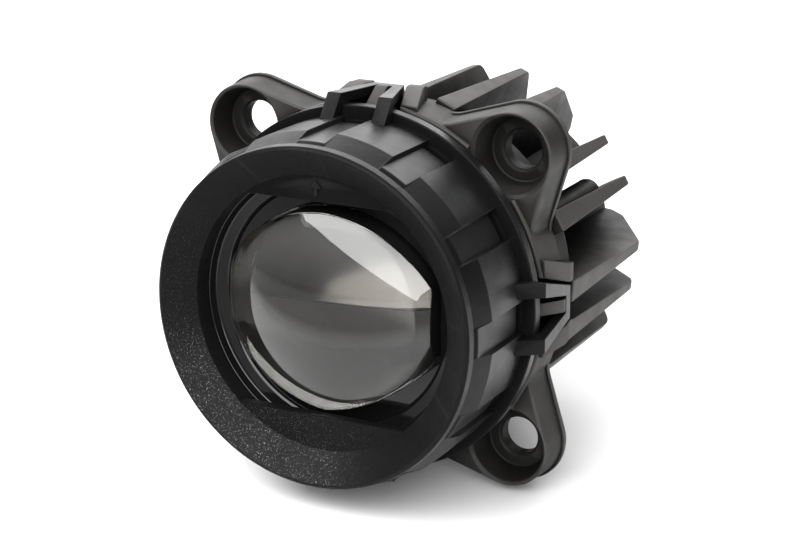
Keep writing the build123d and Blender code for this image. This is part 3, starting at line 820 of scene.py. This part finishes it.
def make_recess():
    """Conical recess for a bolt head, with the bolt hole: drawn about the optical axis, moved to the ear."""
    slope = (RECESS_R - RECESS_FLOOR_R) / (RECESS_FLOOR - EAR_FRONT)
    section = rounded([
        (0, EAR_FRONT - 4), (RECESS_R + 1.0, EAR_FRONT - 4), (RECESS_R + 0.7, EAR_FRONT, 0.3),
        (RECESS_R - 0.6 * slope, EAR_FRONT + 0.7, 0.6), (RECESS_FLOOR_R, RECESS_FLOOR, 0.5),
        (BOLT_HOLE_R + 0.6, RECESS_FLOOR, 0.15), (BOLT_HOLE_R, RECESS_FLOOR + 0.6, 0.15),
        (BOLT_HOLE_R, PAD_DEPTH - 0.4, 0.2), (BOLT_HOLE_R + 0.5, PAD_DEPTH + 0.1),
        (BOLT_HOLE_R + 0.5, PAD_DEPTH + 4), (0, PAD_DEPTH + 4)], 3)
    recess = turned("recess", section, 64)
    recess.data.transform(Matrix.Translation((EAR_SPACING * MM, 0, EAR_SPACING * MM)))
    return recess


def fin_reach(middle, offset):
    """Distance of a plate's outer edge from the axis, along its pair's middle plane."""
    reach = math.sqrt(FIN_R ** 2 - offset ** 2)
    for flat, distance in FIN_FLATS:
        for facing in (flat, flat + 180):
            off = math.radians(middle - facing)
            if math.cos(off) > 0.1:
                reach = min(reach, (distance + offset * math.sin(off)) / math.cos(off))
    return reach


def fin_side(outline, offset, side):
    """One side of a plate, which thins towards the back."""
    points = []
    for radius, depth in outline:
        share = (depth - FIN_FRONT) / (CORE_END - FIN_FRONT)
        half = (FIN_ROOT_THICK + (FIN_TIP_THICK - FIN_ROOT_THICK) * share) / 2
        points.append(spot(radius, offset + side * half, depth))
    return points


def make_fin(middle, offset):
    """Plate beside the middle plane of its pair, thick at its root and thin at the back."""
    reach = fin_reach(middle, offset)
    angle = middle + math.degrees(math.atan2(offset, reach))
    front = [(FIN_INNER, FLOOR_BACK - 2), (reach, FLOOR_BACK - 2, 0.5)]
    if math.hypot(reach, offset) > CUP_R:
        front = [(FIN_INNER, FLOOR_BACK - 2), (CUP_R - 1.5, FLOOR_BACK - 2), (CUP_R - 1.5, FIN_FRONT),
                 (reach, FIN_FRONT, 0.5)]
    if abs(angle - TALL_MIDDLE) < TALL_SPREAD:
        back = [(reach, FIN_CORNER_DEPTH, 4.5), (31.5, 97.0, 3.0), (TALL_END_R, CORE_END, 1.5),
                (FIN_INNER, CORE_END, 0.4)]
    else:
        corner = LOW_CORNER_DEPTH - LOW_CORNER_SLOPE * (reach - LOW_CORNER_R)
        back = [(reach, corner, 4.5), (LOW_END_R, LOW_END_DEPTH, 2.0), (FIN_INNER, LOW_END_DEPTH)]
    outline = rounded(front + back, 5)
    plate = soften(between("fin", fin_side(outline, offset, -1), fin_side(outline, offset, 1)), 0.35, 2, 40)
    if abs(angle - 45) < 20:
        across, up = EAR_SPACING * math.sqrt(2) * Vector(polar(1, 45 - middle))
        outline = circle(across, up, PAD_R + PAD_ROOM, 64)
        room = prism("room", outline, FIN_FRONT - 2, PAD_DEPTH + PAD_ROOM_DEPTH)
        combine(plate, "DIFFERENCE", [room])
    return plate


def make_walls():
    """Wall around the rear well, open between the two plates of each pair."""
    section = rounded([(WELL_R, CORE_BACK - 1), (CORE_R, CORE_BACK - 1), (CORE_R, CORE_END, 0.8),
                       (WELL_R, CORE_END, 0.8)], 4)
    wall = turned("wall", section, 160)
    channel = prism("channel", box_outline(30, 2 * FIN_OFFSET, 30, 0), CORE_BACK, CORE_END + 1)
    turns = [middle + half for middle in FIN_PAIRS for half in (0, 180)]
    return combine(wall, "DIFFERENCE", copies(channel, turns))


def make_catch():
    """Ramp with a square back, which holds a snap loop."""
    foot = CUP_R - 1.5
    top = LOOP_TOP + 0.1
    catch = side_prism("catch", [
        (foot, RING_FRONT + 0.1), (CUP_R + 1.8, RING_FRONT + 0.1), (top, WINDOW_END - 1.2),
        (top, WINDOW_END - 0.3), (foot, WINDOW_END - 0.3)], CATCH_HALF)
    return soften(catch, 0.2, 2, 30)


def arm_half(depth):
    """Half width of a snap loop at a depth."""
    slope = (LOOP_HALF_FRONT - LOOP_HALF_END) / (LOOP_END - LOOP_KNEE)
    return LOOP_HALF_FRONT - slope * (depth - LOOP_KNEE)


def make_notch():
    """Room in the ring for a snap loop."""
    front = arm_half(RING_FRONT) + NOTCH_ROOM
    back = LOOP_HALF_END + NOTCH_END_ROOM
    return plan_prism("notch", [
        (RING_FRONT - 1, -front), (RING_FRONT, -front), (LOOP_END + 0.6, -back), (LOOP_END + 0.6, back),
        (RING_FRONT, front), (RING_FRONT - 1, front)], CUP_R - 0.6, RING_R + 4)


def make_block(side):
    """Wedge on the ring beside a loop, whose inner side follows the loop's arm."""
    front = arm_half(BLOCK_FRONT) + BLOCK_GAP
    back = arm_half(LOOP_END) + BLOCK_GAP
    plan = plan_prism("block", [
        (BLOCK_FRONT, side * front), (LOOP_END, side * back), (RING_BACK, side * back),
        (RING_BACK, side * (back + BLOCK_WIDTH)), (LOOP_END, side * (back + BLOCK_WIDTH)),
        (BLOCK_FRONT, side * (front + BLOCK_WIDTH))], CUP_R - 0.5, LOOP_TOP + 1)
    ramp = side_prism("ramp", [
        (CUP_R - 0.5, BLOCK_FRONT - 1), (RING_R - 1.2, BLOCK_FRONT - 1), (RING_R - 0.4, BLOCK_FRONT),
        (LOOP_TOP, BLOCK_TOP_DEPTH), (LOOP_TOP, RING_BACK + 1), (CUP_R - 0.5, RING_BACK + 1)], 20)
    return soften(combine(plan, "INTERSECT", [ramp]), 0.3, 2, 30)


def make_cup():
    """Front cup with its ring and inner ledge, and the core behind it."""
    return turned("casting", rounded([
        (CAVITY_R, RING_FRONT, 0.3), (RING_R, RING_FRONT, 0.8), (RING_R, RING_BACK, 0.3),
        (CUP_R, RING_BACK + 0.1, 0.5), (CUP_R, FLOOR_BACK - 2, 1.0), (CUP_R - 2, FLOOR_BACK, 1.0),
        (CORE_R, FLOOR_BACK, 2.0), (CORE_R, CORE_BACK, 0.8), (0, CORE_BACK), (0, FLOOR_DEPTH),
        (LEDGE_R, FLOOR_DEPTH), (LEDGE_R, LEDGE_DEPTH), (CAVITY_R, LEDGE_DEPTH)], 4), 160)


def make_fins():
    """All fin plates, the walls behind the core and the two columns between fins."""
    fins = [make_walls()]
    for middle in FIN_PAIRS:
        for offset in (-FIN_OFFSET, FIN_OFFSET):
            fins += copies(make_fin(middle, offset), (middle, middle + 180))
    for angle in (COLUMN_ANGLE, COLUMN_ANGLE + 180):
        x, z = polar(COLUMN_CENTRE_R, angle)
        column = prism("column", circle(x, z, COLUMN_R), FLOOR_BACK - 4, COLUMN_BACK)
        fins.append(soften(column, 0.8, 3, 50))
    return fins


def make_openings():
    """Bolt recesses, the connector's pocket with its screw lugs and holes, and the vent's hole."""
    header = box_outline(HEADER_X_SIZE, HEADER_Z_SIZE, 0, HEADER_Z, 0.5)
    cuts = copies(make_recess(), QUARTERS)
    cuts.append(prism("pocket", header, POCKET_DEPTH, 120))
    cuts.append(prism("vent_hole", circle(0, VENT_Z, VENT_HOLE_R, 24), FLOOR_DEPTH - 1, CORE_BACK + 1))
    for x in (-HEADER_SCREW_X, HEADER_SCREW_X):
        screw = circle(x, HEADER_Z, HEADER_SCREW_R, 24)
        cuts.append(prism("lug_room", circle(x, HEADER_Z, HEADER_LUG_R), CORE_BACK, 120))
        cuts.append(prism("screw_hole", screw, CORE_BACK - 10, CORE_BACK + 1))
    return cuts


def make_casting():
    body = make_cup()
    combine(body, "UNION", copies(make_ear(), QUARTERS))
    combine(body, "DIFFERENCE", copies(make_notch(), QUARTERS))
    combine(body, "UNION", copies(make_catch(), QUARTERS))
    for side in (-1, 1):
        combine(body, "UNION", copies(make_block(side), QUARTERS))
    combine(body, "UNION", make_fins())
    combine(body, "DIFFERENCE", make_openings())
    shade(body)
    nodes = ["heat_sink", "heat_sink_fins"]
    return dress(body, "casting", MATERIALS["coated_aluminium"], nodes)


# ---- pieces that keep their CAD shape ----
def paint_cad_nodes():
    for row in frame["record"]["subparts"]:
        node = cad_nodes[row["node"]]
        material = MATERIALS[row["material_slot"]]
        if not node.material_slots:
            node.data.materials.append(material)
        for place in node.material_slots:
            place.material = material


# ---- camera, floor and light ----
def heading(azimuth, elevation):
    """Direction from the lamp, by its angle to the right of the front and its height."""
    a = math.radians(azimuth)
    e = math.radians(elevation)
    return Vector((math.sin(a) * math.cos(e), -math.cos(a) * math.cos(e), math.sin(e)))


def make_camera():
    azimuth = math.radians(CAMERA_AZIMUTH)
    roll = math.radians(CAMERA_ROLL)
    back = heading(CAMERA_AZIMUTH, CAMERA_ELEVATION)
    level = Vector((math.cos(azimuth), math.sin(azimuth), 0))
    upward = back.cross(level)
    right = level * math.cos(roll) + upward * math.sin(roll)
    up = upward * math.cos(roll) - level * math.sin(roll)
    camera = bpy.data.objects.new("camera", bpy.data.cameras.new("camera"))
    camera.data.lens = CAMERA_LENS
    camera.data.sensor_width = 36.0
    camera.data.sensor_fit = "HORIZONTAL"
    camera.data.clip_start = 0.01
    camera.matrix_world = Matrix((
        (right.x, up.x, back.x, 0), (right.y, up.y, back.y, 0), (right.z, up.z, back.z, 0), (0, 0, 0, 1)))
    camera.location = CAMERA_AIM + back * CAMERA_DISTANCE
    bpy.context.scene.collection.objects.link(camera)
    bpy.context.scene.camera = camera


def make_floor():
    corners = [(x * FLOOR_SIZE, y * FLOOR_SIZE, FLOOR_Z) for x, y in ((-1, -1), (1, -1), (1, 1), (-1, 1))]
    floor = mesh_object("floor", corners, [(0, 1, 2, 3)])
    n = Nodes("floor")
    pale = n.colours(n.noise(3.0), (0.8, 0.8, 0.8), (0.84, 0.84, 0.84))
    along = n.add("ShaderNodeSeparateXYZ")
    n.link(n.place, along.inputs["Vector"])
    near = n.ramp(along.outputs["Y"], 0.0, 1.0, PAINTED_SHADE_FROM_Y, PALE_FROM_Y)
    # painted shade: the floor turns dim far in front of the lamp
    n.link(n.mix(near, (0.2, 0.2, 0.2), pale), n.shader.inputs["Base Color"])
    n.shader.inputs["Roughness"].default_value = 0.9
    floor.data.materials.append(n.material)


def soft_box(name, azimuth, elevation, distance, width, height, radiance, roll=0.0, lift=0.0):
    """Area light that faces the lamp; roll turns it in its own plane and lift then shifts it upward there."""
    toward = heading(azimuth, elevation)
    data = bpy.data.lights.new(name, "AREA")
    data.shape = "RECTANGLE"
    data.size = width
    data.size_y = height
    data.energy = radiance * math.pi * width * height
    light = bpy.data.objects.new(name, data)
    facing = toward.to_track_quat("Z", "Y").to_matrix().to_4x4()
    turned = facing @ Matrix.Rotation(math.radians(roll), 4, "Z")
    lifted = turned @ Matrix.Translation((0, lift, 0))
    light.matrix_world = Matrix.Translation(toward * distance) @ lifted
    bpy.context.scene.collection.objects.link(light)


def make_light():
    soft_box("key", 2, 34, 1.0, 2.4, 0.62, KEY_RADIANCE, KEY_ROLL, KEY_LIFT)
    soft_box("top", 0, 90, 1.6, 4.0, 4.0, TOP_RADIANCE)
    soft_box("back", -150, 34, 1.3, 2.2, 1.2, BACK_RADIANCE)
    world = bpy.data.worlds.new("world")
    bpy.context.scene.world = world
    world.use_nodes = True
    background = world.node_tree.nodes["Background"]
    background.inputs["Color"].default_value = (1, 1, 1, 1)
    background.inputs["Strength"].default_value = WORLD_RADIANCE
    bpy.context.scene.view_settings.view_transform = "Standard"


make_camera()
paint_cad_nodes()
make_bezel()
make_lens()
make_trim()
make_casting()
make_floor()
make_light()
